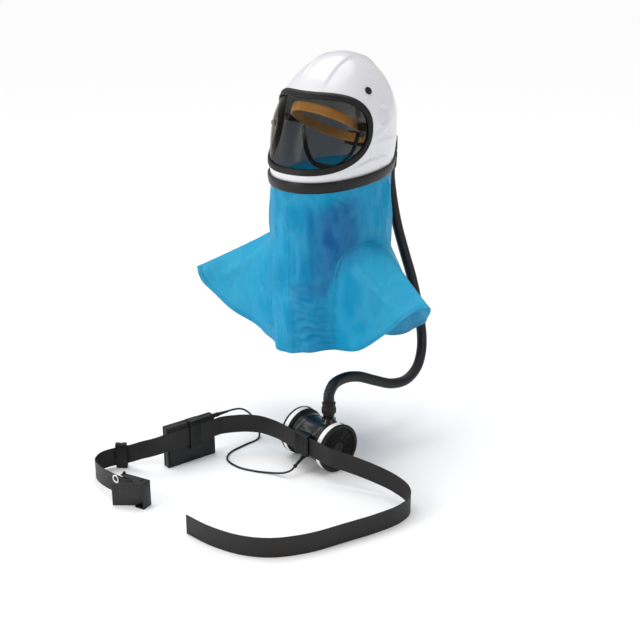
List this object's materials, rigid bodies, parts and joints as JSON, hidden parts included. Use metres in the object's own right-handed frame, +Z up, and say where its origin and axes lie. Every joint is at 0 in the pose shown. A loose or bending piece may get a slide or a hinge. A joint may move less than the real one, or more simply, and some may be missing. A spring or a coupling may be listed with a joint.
{
  "type": "powered respirator helmet",
  "caption": "White full-face helmet shell with a tinted visor and blue fabric shroud, fed by a hose from a belt blower, with battery and belt.",
  "frame": {"origin": "the middle of the head harness, 46 mm below the top of the crown, where the head carries the helmet", "axes": "+Z up, -Y the way the wearer looks, +X the wearer's left, which is the right of the picture"},
  "size_m": [0.7176, 0.7996, 0.8586],
  "materials": {
    "shell": "smooth white moulded shell",
    "rubber": "matt black moulded rubber",
    "visor": "smoke tinted polycarbonate sheet",
    "band": "satin black band",
    "cloth": "thin bright blue coated nylon",
    "leather": "tan sweatband leather",
    "harness": "grey moulded strap",
    "webbing": "smooth black webbing",
    "hose": "black hose with a fine spiral rib",
    "black": "fine grained black moulding",
    "label": "bare white label film",
    "steel": "bright plated steel",
    "cable": "thin black sheathed cable"
  },
  "bodies": {
    "respirator": {"helmet_shell": "shell", "visor_gasket": "rubber", "visor": "visor", "visor_post_left": "black", "visor_post_right": "black", "shell_plug_left": "black", "shell_plug_right": "black", "neck_band": "band", "shroud_left": "cloth", "shroud_right": "cloth", "headband": "leather", "headband_ratchet": "black", "harness_arm_left": "black", "harness_arm_right": "black", "crown_straps": "harness", "chin_strap": "webbing", "air_duct": "black", "hose_cuff": "black", "hose": "hose", "blower_body": "black", "hose_coupling": "black", "filter_left": "black", "filter_right": "black", "filter_label_left": "label", "filter_label_right": "label", "blower_clip": "black", "belt": "webbing", "battery_case": "black", "battery_clip": "black", "battery_plug": "black", "belt_keeper": "black", "belt_eyelet": "steel", "buckle_frame": "black", "buckle_pin": "steel", "cable": "cable", "blower_plug": "black"},
    "buckle_flap": {"buckle_flap": "black"}
  },
  "joints": [
    {"name": "buckle_flap_hinge", "type": "hinge", "parent": "respirator", "child": "buckle_flap", "pos_m": [-0.06604, -0.55104, -0.784], "axis": [0, 0, 1], "range_deg": [-27, 50]}
  ]
}
